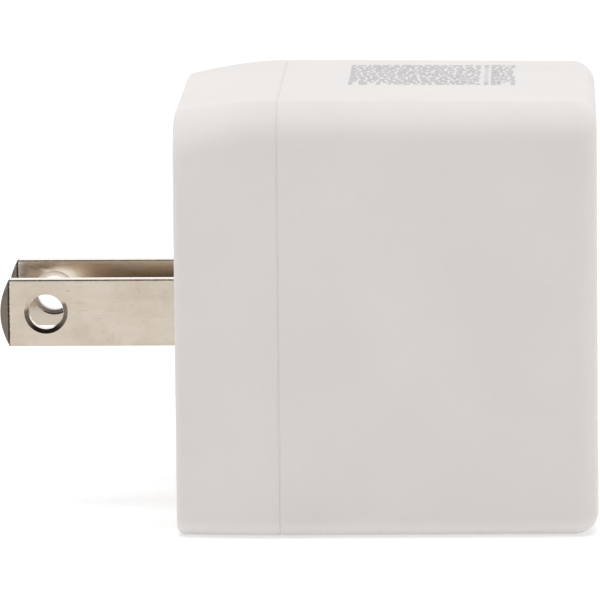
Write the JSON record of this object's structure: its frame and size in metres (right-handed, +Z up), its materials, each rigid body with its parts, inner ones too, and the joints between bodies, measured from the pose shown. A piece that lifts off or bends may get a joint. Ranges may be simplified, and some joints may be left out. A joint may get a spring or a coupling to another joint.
{
  "type": "usb wall charger",
  "caption": "Cube-like plug-in mains adapter with two flat fixed blades on one face and two stacked charging sockets on the opposite face.",
  "frame": {"origin": "middle of the bounding box at the underside of the housing", "axes": "+X from the blades to the socket face, +Z up out of the top face, +Y across the blades"},
  "size_m": [0.0564, 0.0378, 0.0409],
  "materials": {
    "shell_plastic": "fine moulded texture",
    "nickel_plate": "nickel plate on brass, lightly scuffed",
    "black_plastic": "moulded",
    "tongue_plastic": "moulded",
    "spring_bronze": "rolled strip",
    "board_laminate": "solder mask over glass laminate",
    "port_steel": "plated sheet",
    "contact_gold": "plated",
    "ferrite": "sintered",
    "winding_tape": "polyester tape",
    "capacitor_sleeve": "shrink sleeve",
    "blue_ceramic": "dipped coating",
    "resistor_coat": "dipped coating",
    "insulating_paper": "pressed sheet"
  },
  "bodies": {
    "root": {"front_cover": "shell_plastic", "main_housing": "shell_plastic", "blade_near": "nickel_plate", "blade_far": "nickel_plate", "blade_carrier": "black_plastic", "contact_strip_near": "spring_bronze", "contact_strip_far": "spring_bronze", "main_board": "board_laminate", "port_board": "board_laminate", "lower_port_shell": "port_steel", "upper_port_shell": "port_steel", "lower_port_tongue": "tongue_plastic", "upper_port_tongue": "tongue_plastic", "lower_port_contact_1": "contact_gold", "lower_port_contact_2": "contact_gold", "lower_port_contact_3": "contact_gold", "lower_port_contact_4": "contact_gold", "upper_port_contact_1": "contact_gold", "upper_port_contact_2": "contact_gold", "upper_port_contact_3": "contact_gold", "upper_port_contact_4": "contact_gold", "transformer_core_front": "ferrite", "transformer_core_rear": "ferrite", "transformer_bobbin": "black_plastic", "transformer_winding": "winding_tape", "input_capacitor_front": "capacitor_sleeve", "input_capacitor_rear": "capacitor_sleeve", "output_capacitor_near": "capacitor_sleeve", "output_capacitor_far": "capacitor_sleeve", "filter_choke": "ferrite", "fusible_resistor": "resistor_coat", "safety_capacitor": "blue_ceramic", "bridge_rectifier": "black_plastic", "optocoupler": "black_plastic", "output_diode": "black_plastic", "controller_chip": "black_plastic", "insulating_sheet": "insulating_paper"}
  },
  "joints": []
}
